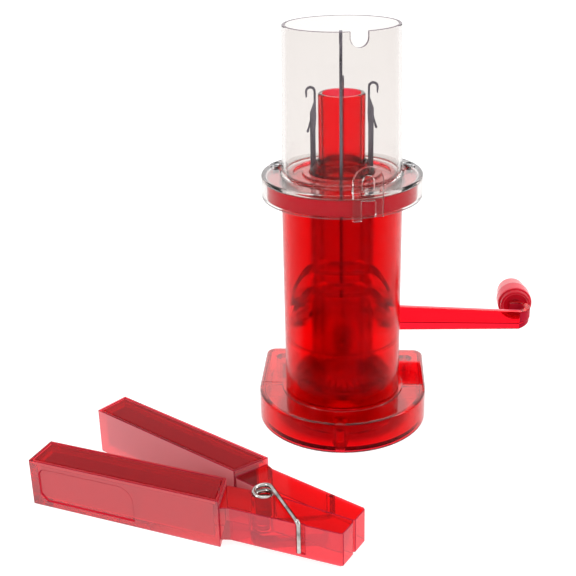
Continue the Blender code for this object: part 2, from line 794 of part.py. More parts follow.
# ---- assembly -----------------------------------------------------------------------------------


def main():
    clear_scene()
    red = material("clear_red", (0.78, 0.02, 0.03), 0.12, transmission=0.5)
    clear = material("clear_acrylic", (0.93, 0.92, 0.91), 0.06, transmission=0.9)
    needle_steel = material("needle_steel", (0.16, 0.15, 0.18), 0.38, metallic=1.0)
    bright = material("bright_steel", (0.75, 0.75, 0.76), 0.2, metallic=1.0)
    weight_steel = material("weight_steel", (0.17, 0.13, 0.13), 0.6, metallic=1.0)

    housing = empty("housing_axis", at=(0, SPOOL_Y, 0))
    across = (math.radians(-90), 0, 0)
    crank_line = empty("crank_line", housing, (0, 0, CRANK_Z), across)
    rotor = empty("rotor_axis", housing)
    crank = empty("crank_axis", housing, (0, 0, CRANK_Z), across)
    knob = empty("knob_axis", crank, (KNOB_X, -KNOB_RISE, 0))
    clip_rear = empty("clip_rear_axis", housing, (*CLIP_AT, 0), (0, 0, CLIP_TURN))
    clip_front = empty("clip_front_axis", clip_rear)

    base_housing(housing, red)
    base_plate(housing, red)
    base_screws(housing, bright)
    body_tube(housing, crank_line, red)
    node("lower_bearing", tube(10.6, 17.0, TUBE_FOOT, TUBE_FOOT + 2.0, 32), housing, clear)
    cam_ring("cam_lower", CAM_LOW, -1, housing, red)
    cam_ring("cam_upper", CAM_HIGH, 1, housing, red)
    guide_ring(housing, red)
    top_cover(housing, clear)
    cover_screws(housing, bright)
    yarn_guide(housing, clear)

    needle_bed(rotor, red)
    centre_tube(rotor, red)
    crown_gear(rotor, red)
    needles(rotor, needle_steel)

    crank_shaft(crank, bright)
    crank_pinion(crank, red)
    crank_arm(crank, red)
    crank_screw(crank, bright)
    knob_pin(crank, bright)
    crank_knob(knob, red)

    clip_half("rear", 1, clip_rear, red, weight_steel)
    clip_half("front", -1, clip_front, red, weight_steel)
    clip_spring(clip_rear, bright)


main()
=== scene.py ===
"""Looks for the spool knitter and its clip.

Finer pieces stand over the CAD nodes, in plastics and steels made of nodes, with a studio and a camera.
"""

import math

import bmesh
import bpy
from mathutils import Matrix, Vector


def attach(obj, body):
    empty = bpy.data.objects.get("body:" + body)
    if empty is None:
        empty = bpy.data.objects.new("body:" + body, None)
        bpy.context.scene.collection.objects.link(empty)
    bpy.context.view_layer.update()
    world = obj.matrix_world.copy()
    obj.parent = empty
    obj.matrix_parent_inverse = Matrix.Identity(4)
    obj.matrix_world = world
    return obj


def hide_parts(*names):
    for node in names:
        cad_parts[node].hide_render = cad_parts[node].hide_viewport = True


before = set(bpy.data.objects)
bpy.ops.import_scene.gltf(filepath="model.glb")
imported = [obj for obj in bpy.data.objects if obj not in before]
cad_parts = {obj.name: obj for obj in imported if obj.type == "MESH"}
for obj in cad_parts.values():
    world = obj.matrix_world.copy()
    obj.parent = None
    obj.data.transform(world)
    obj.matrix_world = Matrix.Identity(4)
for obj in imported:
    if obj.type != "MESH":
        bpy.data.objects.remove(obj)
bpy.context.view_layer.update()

# Lengths are in millimetres. The spool's frame has its axis at x = y = 0, the front at -Y and Z up.
MM = 0.001
SPOOL = Matrix.Translation((0, -22, 0))
CRANK = Matrix.Translation((0, -22, 29.4)) @ Matrix.Rotation(math.radians(-90), 4, "X")
CLIP = Matrix.Translation((-27.1, -115.4, 0)) @ Matrix.Rotation(math.radians(-26.5), 4, "Z")
YARN = SPOOL @ Matrix.Rotation(math.radians(18.5 - 90), 4, "Z")  # X points out through the notch
ROUND = 112  # sides of a large turned piece
SMALL = 40  # sides of a small turned piece
EDGE_ANGLE = math.radians(40)  # an edge as sharp as this is rounded
SHARP_ANGLE = math.radians(35)  # an edge as sharp as this isn't shaded smooth

# Heights and radii that several pieces share.
BASE_CEILING = 12.8
TUBE_BORE_R = 23.3
TUBE_R = 25.5
FLANGE_R = 31.7
FLANGE_LOW = 104.4
FLANGE_TOP = 111.4
COVER_SCREWS = {"left": (-28.3, 8.8), "right": (28.3, 8.8)}


# ---- materials ----------------------------------------------------------------------------------


def shader(name):
    """A new material, its node tree and its Principled BSDF."""
    made = bpy.data.materials.new(name)
    made.use_nodes = True
    tree = made.node_tree
    return made, tree, tree.nodes["Principled BSDF"]


def noise(tree, scale, detail, stretch=(1, 1, 1)):
    """A noise in object space, in cycles per metre."""
    place = tree.nodes.new("ShaderNodeTexCoord")
    mapping = tree.nodes.new("ShaderNodeMapping")
    mapping.inputs["Scale"].default_value = stretch
    made = tree.nodes.new("ShaderNodeTexNoise")
    made.inputs["Scale"].default_value = scale
    made.inputs["Detail"].default_value = detail
    tree.links.new(place.outputs["Object"], mapping.inputs["Vector"])
    tree.links.new(mapping.outputs["Vector"], made.inputs["Vector"])
    return made.outputs["Fac"]


def ramp(tree, source, stops):
    """Maps a factor to greys or colours."""
    made = tree.nodes.new("ShaderNodeValToRGB")
    band = made.color_ramp
    while len(band.elements) < len(stops):
        band.elements.new(0.5)
    for element, (at, color) in zip(band.elements, stops):
        element.position = at
        element.color = (*color, 1.0) if isinstance(color, tuple) else (color, color, color, 1.0)
    tree.links.new(source, made.inputs["Fac"])
    return made.outputs["Color"]


def bump(tree, base, source, strength, distance):
    made = tree.nodes.new("ShaderNodeBump")
    made.inputs["Strength"].default_value = strength
    made.inputs["Distance"].default_value = distance
    tree.links.new(source, made.inputs["Height"])
    tree.links.new(made.outputs["Normal"], base.inputs["Normal"])


def plastic(name, resin, milk, shine, haze=(0.0, 0.0), polish=0.0, gloss=(0.02, 0.08), swell=0.0,
            lacquer=1.5):
    """See-through moulded plastic: colour from its depth, gloss broken by fine handling marks.

    resin is the colour that it lets through, how much it takes up per metre, and its index. haze is
    how milky its level faces and its upright faces are, and milk is that milk's colour. shine is the
    colour of what it reflects head on. polish and lacquer are the weight and the index of the gloss
    of its level faces, and swell is how far its faces wave, as thick mouldings do.
    """
    through, density, index = resin
    made, tree, base = shader(name)
    base.inputs["Base Color"].default_value = (*milk, 1)
    base.inputs["IOR"].default_value = index
    base.inputs["Specular Tint"].default_value = (*shine, 1)
    marks = noise(tree, 260, 6.0)
    tree.links.new(ramp(tree, marks, [(0.35, gloss[0]), (0.7, gloss[1])]), base.inputs["Roughness"])
    if swell:
        bump(tree, base, noise(tree, 90, 1.0), swell, 0.0004)
    place = tree.nodes.new("ShaderNodeTexCoord")
    split = tree.nodes.new("ShaderNodeSeparateXYZ")
    upward = tree.nodes.new("ShaderNodeMath")
    upward.operation = "ABSOLUTE"
    tree.links.new(place.outputs["Normal"], split.inputs["Vector"])
    tree.links.new(split.outputs["Z"], upward.inputs[0])
    levelness = upward.outputs["Value"]
    clear = ramp(tree, levelness, [(0.3, 1 - haze[1]), (0.8, 1 - haze[0])])
    tree.links.new(clear, base.inputs["Transmission Weight"])
    if polish:
        tree.links.new(ramp(tree, levelness, [(0.5, 0.0), (0.9, polish)]), base.inputs["Coat Weight"])
        base.inputs["Coat Roughness"].default_value = 0.03
        base.inputs["Coat IOR"].default_value = lacquer
    depth = tree.nodes.new("ShaderNodeVolumeAbsorption")
    depth.inputs["Color"].default_value = (*through, 1.0)
    depth.inputs["Density"].default_value = density
    tree.links.new(depth.outputs["Volume"], tree.nodes["Material Output"].inputs["Volume"])
    return made


def paint_centre_shade(made, near, far, inside):
    """Paints shade into a plastic's milk round the spool's axis, fading out between two radii in metres."""
    tree = made.node_tree
    base = tree.nodes["Principled BSDF"]
    place = tree.nodes.new("ShaderNodeTexCoord")
    away = tree.nodes.new("ShaderNodeVectorMath")
    away.operation = "DISTANCE"
    away.inputs[1].default_value = SPOOL.translation * MM
    tree.links.new(place.outputs["Object"], away.inputs[0])
    decimetres = tree.nodes.new("ShaderNodeMath")
    decimetres.operation = "MULTIPLY"
    decimetres.inputs[1].default_value = 10.0
    tree.links.new(away.outputs["Value"], decimetres.inputs[0])
    outside = tuple(base.inputs["Base Color"].default_value)[:3]
    stops = [(near * 10, inside), (far * 10, outside)]
    tree.links.new(ramp(tree, decimetres.outputs["Value"], stops), base.inputs["Base Color"])


def steel(name, color, low, high, scale, mottle, stretch=(1, 1, 1)):
    """Steel whose grain runs from dark and rough to bright and smooth. mottle is how dark it gets."""
    made, tree, base = shader(name)
    base.inputs["Metallic"].default_value = 1.0
    grain = noise(tree, scale, 5.0, stretch)
    dark = tuple(c * (1 - mottle) for c in color)
    tree.links.new(ramp(tree, grain, [(0.3, dark), (0.7, color)]), base.inputs["Base Color"])
    tree.links.new(ramp(tree, grain, [(0.3, high), (0.7, low)]), base.inputs["Roughness"])
    bump(tree, base, grain, 0.1, 0.0001)
    return made


def block_material():
    """The dull, mottled weights inside the clip."""
    made, tree, base = shader("weight_block")
    cloud = noise(tree, 120, 6.0)
    colors = ramp(tree, cloud, [(0.35, (0.26, 0.15, 0.15)), (0.65, (0.38, 0.22, 0.22))])
    tree.links.new(colors, base.inputs["Base Color"])
    base.inputs["Roughness"].default_value = 0.7
    bump(tree, base, cloud, 0.4, 0.0004)
    return made


ROSE = (1, 0.06, 0.12)
CORAL = (1, 0.3, 0.35)
WHITE = (1, 1, 1)
TUBE_RESIN = ((0.991, 0.04, 0.24), 1650.0, 1.27)
BASE_RESIN = ((0.988, 0.04, 0.24), 1650.0, 1.33)
CAM_RESIN = ((0.99, 0.04, 0.24), 1400.0, 1.3)
ROTOR_RESIN = ((0.965, 0.04, 0.24), 1650.0, 1.3)
GUIDE_RESIN = ((0.991, 0.1, 0.2), 900.0, 1.33)
FLANGE_RESIN = ((0.985, 0.04, 0.15), 500.0, 1.12)
CURL_RESIN = ((0.98, 0.04, 0.15), 1650.0, 1.2)
CLIP_RESIN = ((0.991, 0.05, 0.13), 1300.0, 1.15)
LID_RESIN = ((0.98, 0.06, 0.15), 1300.0, 1.15)
KNOB_RESIN = ((0.99, 0.1, 0.2), 1200.0, 1.3)
CLEAR_RESIN = ((0.62, 0.54, 0.52), 50.0, 1.2)

RED = plastic("red_plastic", TUBE_RESIN, (1, 0.9, 0.9), ROSE, polish=1.0, gloss=(0.16, 0.26))
BASE_RED = plastic("red_plastic_base", BASE_RESIN, (0.97, 0.8, 0.8), ROSE, polish=1.0, gloss=(0.1, 0.2),
                   lacquer=1.7)
FLOOR_RED = plastic("red_plastic_floor", BASE_RESIN, (0.97, 0.8, 0.8), ROSE, gloss=(0.1, 0.2))
# Painted shade: the floor plate is darker round the axis, under the tube.
paint_centre_shade(FLOOR_RED, 0.028, 0.031, (0.45, 0.35, 0.35))
INNER_RED = plastic("red_plastic_inner", CAM_RESIN, (0.84, 0.8, 0.8), ROSE)
DEEP_RED = plastic("red_plastic_deep", ROTOR_RESIN, (1, 0.9, 0.9), ROSE, gloss=(0.1, 0.2))
PALE_RED = plastic("red_plastic_pale", GUIDE_RESIN, (1, 0.85, 0.86), ROSE, (0.12, 0.0), 1.0)
FLANGE_RED = plastic("red_plastic_flange", FLANGE_RESIN, (1, 0.008, 0.03), (1, 0.1, 0.15), (0.0, 0.7),
                     gloss=(0.1, 0.2))
# Painted shade: a darker red for the curl's faces, which turn away from the light.
CURL_SHADE_RED = plastic("red_plastic_curl_painted_shade", CURL_RESIN, (0.62, 0.016, 0.045), ROSE, (0.0, 0.6), 1.0,
                   gloss=(0.1, 0.2))
# The clip's milk on upright faces is partly a frosted surface and partly painted reflection of the white
# table.
CLIP_RED = plastic("red_plastic_clip", CLIP_RESIN, (1, 0.44, 0.48), CORAL, (0.03, 0.2), swell=0.015)
# Painted shade: dark crimson for the clip's rounded edges and the crank's groove.
CLIP_EDGE_SHADE = plastic("red_plastic_clip_edge_painted_shade", CLIP_RESIN, (0.5, 0.03, 0.07), CORAL, (0.5, 0.5))
# The jaws' own copy of that milk and painted reflection, with its own tones.
JAW_RED = plastic("red_plastic_jaw", CLIP_RESIN, (1, 0.24, 0.29), CORAL, (0.03, 0.28), swell=0.015)
# Painted reflection: a milkier copy for the rear handle's inner side, for the white that it mirrors.
CLIP_REFLECTION = plastic("red_plastic_clip_painted_reflection", CLIP_RESIN, (1, 0.37, 0.4), (1, 0.4, 0.45), (0.03, 0.5),
                    swell=0.015)
# The lid's dark, nearly opaque milk stands in for the weight seen through it: the weight's own dark colour
# together with painted shade.
LID_RED = plastic("red_plastic_lid", LID_RESIN, (0.62, 0.022, 0.032), (1, 0.2, 0.25), (0.3, 0.3))
KNOB_RED = plastic("red_plastic_knob", KNOB_RESIN, (0.95, 0.085, 0.12), (1, 0.6, 0.6), (0.75, 0.75),
                   gloss=(0.12, 0.25))
KNOB_PALE = plastic("red_plastic_knob_end", KNOB_RESIN, (1, 0.3, 0.32), (1, 0.8, 0.8), (0.75, 0.75),
                    gloss=(0.12, 0.25))
# Painted shade: the knob's near face, darker for the shade it sits in.
KNOB_FACE_SHADE = plastic("red_plastic_knob_face_painted_shade", KNOB_RESIN, (0.8, 0.012, 0.035), (1, 0.3, 0.3), (0.6, 0.6),
                    gloss=(0.05, 0.12))
CLEAR = plastic("clear_plastic", CLEAR_RESIN, (0.865, 0.845, 0.83), WHITE, polish=1.0, gloss=(0.003, 0.015))
# Painted shade: a darker mauve milk for the cover's cut ends and lower rim.
CLEAR_EDGE_SHADE = plastic("clear_plastic_edge_painted_shade", CLEAR_RESIN, (0.3, 0.22, 0.26), WHITE, (0.6, 0.6),
                     gloss=(0.1, 0.3))
NEEDLE = steel("needle_steel", (0.2, 0.185, 0.22), 0.3, 0.5, 900, 0.35, stretch=(1, 1, 0.08))
BRIGHT = steel("bright_steel", (0.62, 0.615, 0.61), 0.06, 0.16, 500, 0.12)
# Its strong mottle is partly grain and partly painted reflection: dark streaks for the surroundings mirrored
# in the wire.
SPRING = steel("spring_steel", (0.62, 0.6, 0.58), 0.08, 0.2, 260, 0.6)
HEAD = steel("screw_steel", (0.5, 0.49, 0.5), 0.1, 0.3, 700, 0.7)
# Painted shade: near-black steel for the screws' crosshead recesses.
RECESS_SHADE = steel("recess_painted_shade_steel", (0.06, 0.05, 0.055), 0.4, 0.7, 900, 0.5)
BLOCK = block_material()


# ---- building blocks ----------------------------------------------------------------------------


def arc(centre, radius, start, end, steps):
    """Points round a circle, with the angles in degrees."""
    angles = [math.radians(start + (end - start) * i / steps) for i in range(steps + 1)]
    return [(centre[0] + radius * math.cos(a), centre[1] + radius * math.sin(a)) for a in angles]


def rounded(outline, radii, steps=4, closed=True):
    """A polygon with its corners filleted. radii is one number, or one per corner."""
    count = len(outline)
    if not isinstance(radii, (list, tuple)):
        radii = [radii] * count
    made = []
    for i, (corner, radius) in enumerate(zip(outline, radii)):
        if radius <= 0 or (not closed and i in (0, count - 1)):
            made.append(corner)
            continue
        here = Vector(corner)
        back = Vector(outline[i - 1]) - here
        ahead = Vector(outline[(i + 1) % count]) - here
        angle = back.angle(ahead)
        reach = min(radius / math.tan(angle / 2), 0.49 * back.length, 0.49 * ahead.length)
        radius = reach * math.tan(angle / 2)
        start, end = here + back.normalized() * reach, here + ahead.normalized() * reach
        middle = here + (back.normalized() + ahead.normalized()).normalized() * (radius / math.sin(angle / 2))
        for j in range(steps + 1):
            spoke = (start - middle).lerp(end - middle, j / steps)
            made.append(tuple(middle + spoke.normalized() * radius))
    return made


def inset(outline, distance):
    """A convex outline with every edge moved inwards. The points run anticlockwise."""
    moved_in = []
    for before, here, after in zip(outline[-1:] + outline[:-1], outline, outline[1:] + outline[:1]):
        a = (Vector(here) - Vector(before)).normalized()
        b = (Vector(after) - Vector(here)).normalized()
        corner = Vector((-a.y, a.x)) + Vector((-b.y, b.x))
        moved_in.append(tuple(Vector(here) + corner * (2 * distance / corner.length_squared)))
    return moved_in


def level(outline, z):
    return [(x, y, z) for x, y in outline]


def outward(bm):
    """Turns a closed shape's faces outwards."""
    bm.normal_update()
    bmesh.ops.recalc_face_normals(bm, faces=bm.faces)
    return bm


def loft(sections, closed=False):
    """A solid through sections of equally many points: capped at its two ends, or a closed ring."""
    bm = bmesh.new()
    rings = [[bm.verts.new(point) for point in section] for section in sections]
    followers = rings[1:] + rings[:1] if closed else rings[1:]
    for low, high in zip(rings, followers):
        for i, j in zip(range(len(low)), list(range(1, len(low))) + [0]):
            bm.faces.new((low[i], low[j], high[j], high[i]))
    if not closed:
        bm.faces.new(rings[0])
        bm.faces.new(rings[-1])
    return outward(bm)


def prism(outline, low, high):
    return loft([level(outline, low), level(outline, high)])


def lathe(profile, sides=ROUND):
    """A profile of radii and heights turned about Z. It is a closed loop, unless it starts on the axis."""
    bm = bmesh.new()
    points = [bm.verts.new((r, 0.0, z)) for r, z in profile]
    followers = points[1:] if profile[0][0] == 0 else points[1:] + points[:1]
    edges = [bm.edges.new(pair) for pair in zip(points, followers)]
    bmesh.ops.spin(
        bm, geom=points + edges, cent=(0, 0, 0), axis=(0, 0, 1), angle=2 * math.pi, steps=sides
    )
    bmesh.ops.remove_doubles(bm, verts=bm.verts, dist=0.001)
    return outward(bm)


def rod(radius, low, high, sides=SMALL):
    return lathe([(0, low), (radius, low), (radius, high), (0, high)], sides)


def box(low, high):
    (x0, y0, z0), (x1, y1, z1) = low, high
    return prism([(x0, y0), (x1, y0), (x1, y1), (x0, y1)], z0, z1)


def moved(bm, matrix):
    bm.transform(matrix)
    return outward(bm)


def shifted(bm, x, y, z=0.0):
    return moved(bm, Matrix.Translation((x, y, z)))


def joined(parts):
    """Several shapes as one mesh, still separate bodies."""
    whole = bmesh.new()
    for part in parts:
        mesh = bpy.data.meshes.new("part")
        part.to_mesh(mesh)
        part.free()
        whole.from_mesh(mesh)
        bpy.data.meshes.remove(mesh)
    return whole


def linked(name, bm, place):
    """An object in metres, from a shape in millimetres in the frame that place gives."""
    bm.transform(Matrix.Scale(MM, 4) @ place)
    outward(bm)
    mesh = bpy.data.meshes.new(name)
    bm.to_mesh(mesh)
    bm.free()
    made = bpy.data.objects.new(name, mesh)
    bpy.context.scene.collection.objects.link(made)
    return made


def applied(made):
    """Replaces an object's mesh by what its modifiers make of it."""
    graph = bpy.context.evaluated_depsgraph_get()
    mesh = bpy.data.meshes.new_from_object(made.evaluated_get(graph))
    made.modifiers.clear()
    made.data = mesh


def piece(name, bm, place, finish, body, nodes, adds=None, cuts=None, edge=0.0, rim=None):
    """A visible piece: a solid, what is joined to it, what is cut from it, and its edge rounding.

    rim is a second finish. The rounded edges get it, and callers give it to more faces.
    """
    made = linked(name, bm, place)
    for operation, extra in (("UNION", adds), ("DIFFERENCE", cuts)):
        if extra is None:
            continue
        helper = linked(name + "_tool", extra, place)
        modifier = made.modifiers.new(operation, "BOOLEAN")
        modifier.operation = operation
        modifier.object = helper
        modifier.solver = "EXACT"
        applied(made)
        bpy.data.objects.remove(helper, do_unlink=True)
    made.data.materials.clear()
    made.data.materials.append(finish)
    if rim:
        made.data.materials.append(rim)
    if edge:
        modifier = made.modifiers.new("edge", "BEVEL")
        modifier.material = 1 if rim else -1
        modifier.width = edge * MM
        modifier.segments = 2
        modifier.limit_method = "ANGLE"
        modifier.angle_limit = EDGE_ANGLE
        applied(made)
    made.data.shade_smooth()
    made.data.set_sharp_from_angle(angle=SHARP_ANGLE)
    shading = made.modifiers.new("shading", "WEIGHTED_NORMAL")
    shading.weight = 100
    shading.keep_sharp = True
    applied(made)
    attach(made, body)
    if nodes:
        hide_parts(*nodes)
    return made


def local_faces(made, place):
    """Each face of a piece, with its centre and its normal in the frame that it was shaped in."""
    back = place.inverted() @ Matrix.Scale(1 / MM, 4)
    for face in made.data.polygons:
        yield face, back @ face.center, (back.to_3x3() @ face.normal).normalized()


# ---- base ---------------------------------------------------------------------------------------

BASE_HALF = 37.5
BASE_REAR = 36.7
BASE_CORNER = 4.5
BASE_TOP = 14.2
BASE_EDGE_R = 1.5
BASE_SCREWS = [(0.0, -32.0), (-29.0, 28.5), (29.0, 28.5)]
SLIT_X = 32.7  # the slits across the base's top, beside the tube
RIB_X = 31.5


def base_outline(distance):
    """A half disc in front and straight sides behind, moved inwards."""
    half, rear = BASE_HALF - distance, BASE_REAR - distance
    corner = max(BASE_CORNER - distance, 1.0)
    return (
        arc((0, 0), half, 180, 360, 72)
        + arc((half - corner, rear - corner), corner, 0, 90, 8)
        + arc((corner - half, rear - corner), corner, 90, 180, 8)
    )


def base():
    """The base's shell and the plate that closes it from below."""
    # How far in and how high the shell's wall goes, from the ceiling inside to the top's rounded edge.
    steps = [(2.4, 12.2), (2.2, 11.6), (2.2, 0.3), (2.0, 0.0), (0.4, 0.0), (0.0, 0.5), (0.0, 12.4)]
    for i in range(1, 7):
        a = math.radians(15 * i)
        across, rise = BASE_EDGE_R * math.cos(a), BASE_EDGE_R * math.sin(a)
        steps.append((BASE_EDGE_R - across, BASE_TOP - BASE_EDGE_R + rise))
    shell = loft([level(base_outline(d), z) for d, z in steps])
    posts = [shifted(rod(3.5, 2.6, BASE_CEILING), x, y) for x, y in BASE_SCREWS]
    ribs = [box((mid - 4.2, -1.3, 6.0), (mid + 4.2, 0.3, BASE_CEILING)) for mid in (-RIB_X, RIB_X)]
    collar = lathe([(25.9, 13.6), (27.3, 13.6), (27.3, 14.3), (27.0, 14.6), (25.9, 14.6)])
    socket = lathe([(TUBE_BORE_R, 2.6), (TUBE_R, 2.6), (TUBE_R, BASE_CEILING), (TUBE_BORE_R, BASE_CEILING)])
    pilots = [shifted(rod(1.4, 0.0, 9.0), x, y) for x, y in BASE_SCREWS]
    slits = [box((mid - 5.2, -0.2, 13.75), (mid + 5.2, 0.2, 15.0)) for mid in (-SLIT_X, SLIT_X)]
    adds = joined(posts + ribs + [collar, socket])
    cuts = joined(pilots + [rod(10.2, 11.0, 16.0, 64)] + slits)
    piece("base_shell", shell, SPOOL, BASE_RED, "housing", ["base_housing"], adds, cuts)
    plate = loft([level(base_outline(d), z) for d, z in ((2.8, 0.0), (2.5, 0.3), (2.5, 2.2))])
    seat = [(0, -1), (2.9, -1), (2.9, 1.2), (1.7, 1.2), (1.7, 3.5), (0, 3.5)]
    holes = [shifted(lathe(seat, SMALL), x, y) for x, y in BASE_SCREWS] + [rod(8.0, -1.0, 3.5, 64)]
    piece("base_floor", plate, SPOOL, FLOOR_RED, "housing", ["base_plate"],
          None, joined(holes))


def cross(top, deep, wide, long):
    """The tool for a crosshead recess that opens upwards."""
    outline = []
    for turn in range(4):
        c, d = ((1, 0), (0, 1), (-1, 0), (0, -1))[turn]
        for a, b in ((long, -wide / 2), (long, wide / 2), (wide / 2, wide / 2)):
            outline.append((a * c - b * d, a * d + b * c))
    floor = [(x * 0.6, y * 0.6) for x, y in outline]
    return loft([level(floor, top - deep), level(outline, top + 0.5)])


def screw(name, place, shank_low, head_low, node, body, shank=1.1, head=2.6, high=1.35):
    """A pan-head screw along +Z of its place, with painted shade in the crosshead recess on top."""
    pitch, groove = 0.7, 0.22
    profile = [(0, shank_low), (shank * 0.5, shank_low), (shank, shank_low + 0.8)]
    z = shank_low + 1.0
    while z < head_low - 1.2:
        profile += [(shank, z), (shank - groove, z + pitch / 2), (shank, z + pitch)]
        z += pitch
    profile += [(shank, head_low), (head, head_low), (head, head_low + high * 0.35)]
    profile += [(head * math.cos(a), head_low + high * (0.35 + 0.65 * math.sin(a))) for a in (0.4, 0.8, 1.15)]
    profile.append((0, head_low + high))
    made = piece(name, lathe(profile, SMALL), place, HEAD, body, [node],
                 None, cross(head_low + high, high * 0.75, head * 0.34, head * 0.72), rim=RECESS_SHADE)
    # Faces inside the crosshead recess get the painted shade.
    for face, at, facing in local_faces(made, place):
        inside = at.xy.length < head * 0.76 and at.z > head_low + high * 0.15
        if inside and (facing.z < 0.5 or at.z < head_low + high * 0.5):
            face.material_index = 1


# ---- body ---------------------------------------------------------------------------------------

TUBE_FOOT = 14.5
LEDGE_BORE_R = 22.4  # the ledge that the lower cam stands on
LEDGE_LOW = 38.4
LEDGE_TOP = 39.2
BOSS_R = 9.5
LINER_R = 23.0  # the cams and the guide, inside the tube
SLEEVE_R = 22.0
CAM_BORE_R = 15.8
CAM_LOW = 39.5
CAM_HIGH = 104.6
TRACK_LOW = 50.8
TRACK_RISE = 22.2
TRACK_HALF = 3.0
RAIL_HIGH = 4.0
GUIDE_LOW = 104.9
GUIDE_TOP = 114.4
GUIDE_BORE_R = 13.8


def tube():
    """The body tube with its flange, the ledge inside it, and the crank's boss behind."""
    profile = rounded(
        [(TUBE_BORE_R, TUBE_FOOT), (TUBE_R, TUBE_FOOT), (TUBE_R, FLANGE_LOW), (FLANGE_R, FLANGE_LOW),
         (FLANGE_R, FLANGE_TOP), (TUBE_BORE_R, FLANGE_TOP), (TUBE_BORE_R, LEDGE_TOP),
         (LEDGE_BORE_R, LEDGE_TOP), (LEDGE_BORE_R, LEDGE_LOW), (TUBE_BORE_R, LEDGE_LOW)],
        [0.3, 0.5, 1.2, 0.5, 0.5, 0.3, 0.3, 0.3, 0.3, 0.3],
    )
    lay = SPOOL.inverted() @ CRANK
    boss = rounded([(0, 22), (BOSS_R, 22), (BOSS_R, 35.5), (0, 35.5)], [0, 0, 0.6, 0], closed=False)
    cuts = [shifted(rod(1.4, 103, 113), x, y) for x, y in COVER_SCREWS.values()]
    cuts.append(moved(rod(4.9, 20, 38, SMALL), lay))
    shell = piece("tube_shell", lathe(profile), SPOOL, RED, "housing", ["body_tube"],
                  moved(lathe(boss, 56), lay), joined(cuts), rim=FLANGE_RED)
    for face, at, _ in local_faces(shell, SPOOL):
        if FLANGE_LOW + 0.2 < at.z < FLANGE_TOP - 0.2 and at.xy.length > FLANGE_R - 0.7:
            face.material_index = 1


def track_height(angle):
    """The height of the cams' track at an angle from the front, where it is at its highest."""
    away = abs(math.remainder(angle, 2 * math.pi))
    flat, end = math.radians(28), math.radians(85)
    share = min(max((away - flat) / (end - flat), 0.0), 1.0)
    return TRACK_LOW + TRACK_RISE / 2 * (1 + math.cos(math.pi * share))


def cam(name, edge, side, node):
    """A sleeve from a level edge to the wavy track, with a rail along the track. side is 1 above it."""
    sections = []
    for i in range(ROUND):
        angle = 2 * math.pi * i / ROUND
        track = track_height(angle) + side * TRACK_HALF
        back = track + side * RAIL_HIGH
        across = [(SLEEVE_R, edge), (LINER_R, edge), (LINER_R, track),
                  (CAM_BORE_R, track), (CAM_BORE_R, back), (SLEEVE_R, back)]
        sections.append([(r * math.sin(angle), -r * math.cos(angle), z) for r, z in rounded(across, 0.3, 2)])
    piece(name, loft(sections, closed=True), SPOOL, INNER_RED, "housing", [node])


def inner_rings():
    """The two cam rings and the ring that guides the needle bed."""
    cam("cam_lower_ring", CAM_LOW, -1, "cam_lower")
    cam("cam_upper_ring", CAM_HIGH, 1, "cam_upper")
    guide = rounded(
        [(GUIDE_BORE_R, GUIDE_LOW), (LINER_R, GUIDE_LOW), (LINER_R, GUIDE_TOP), (20.6, GUIDE_TOP),
         (20.2, 113.5), (16.8, 113.5), (16.4, GUIDE_TOP), (GUIDE_BORE_R, GUIDE_TOP)],
        [0.2, 0.2, 0.9, 0.2, 0.1, 0.1, 0.2, 0.3],
    )
    piece("spool_guide", lathe(guide), SPOOL, PALE_RED, "housing", ["guide_ring"])


# ---- clear cover --------------------------------------------------------------------------------

COVER_FOOT = 111.7
COVER_TOP = 113.9
COVER_R = 33.9
SKIRT_BORE_R = 32.0
SKIRT_LOW = 104.0
RIM = 175.0
NOTCH_HALF = 3.7
NOTCH_Z = 172.6  # the centre of the notch's round end
EYE_FACE = 34.3  # how far out the yarn guide's plate starts and ends
EYE_BACK = 36.1
EYE_HALF = 6.3
EYE_FOOT = 111.6
LUG_LOW = 114.2


def upright(outline, low, high):
    """A plate from an outline of sideways places and heights, between two places along X."""
    return loft([[(x, t, z) for t, z in outline] for x in (low, high)])


def cover():
    """The clear shield with its plate and skirt, with painted shade on its cut ends and lower rim, and its
    screws.
    """
    profile = rounded(
        [(23.8, COVER_FOOT), (SKIRT_BORE_R, COVER_FOOT), (SKIRT_BORE_R, SKIRT_LOW), (COVER_R, SKIRT_LOW),
         (COVER_R, COVER_TOP), (25.3, COVER_TOP), (24.1, RIM), (22.6, RIM)],
        [0.3, 0.4, 0.5, 0.7, 0.6, 1.3, 0.6, 0.5], 4,
    )
    notch = [(-NOTCH_HALF, 180)] + arc((0, NOTCH_Z), NOTCH_HALF, 180, 360, 24) + [(NOTCH_HALF, 180)]
    turn = SPOOL.inverted() @ YARN
    cuts = [shifted(rod(1.5, 110, 116), x, y) for x, y in COVER_SCREWS.values()]
    cuts.append(moved(upright(notch, 18.0, 30.0), turn))
    shell = piece("cover_shell", lathe(profile, 144), SPOOL, CLEAR, "housing", ["top_cover"],
                  None, joined(cuts))
    shell.data.materials.append(CLEAR_EDGE_SHADE)
    # Cut ends high up and the lower rim get the painted shade.
    for face, at, facing in local_faces(shell, SPOOL):
        across = abs(facing.xy.dot(at.xy.normalized())) < 0.75
        if across and (at.z > 120.0 or at.z < SKIRT_LOW + 0.6):
            face.material_index = 1
    for side, turned in (("left", 1.2), ("right", 0.5)):
        place = SPOOL @ Matrix.Translation((*COVER_SCREWS[side], 0)) @ Matrix.Rotation(turned, 4, "Z")
        screw(f"cover_bolt_{side}", place, 105.0, LUG_LOW, f"cover_screw_{side}", "housing")


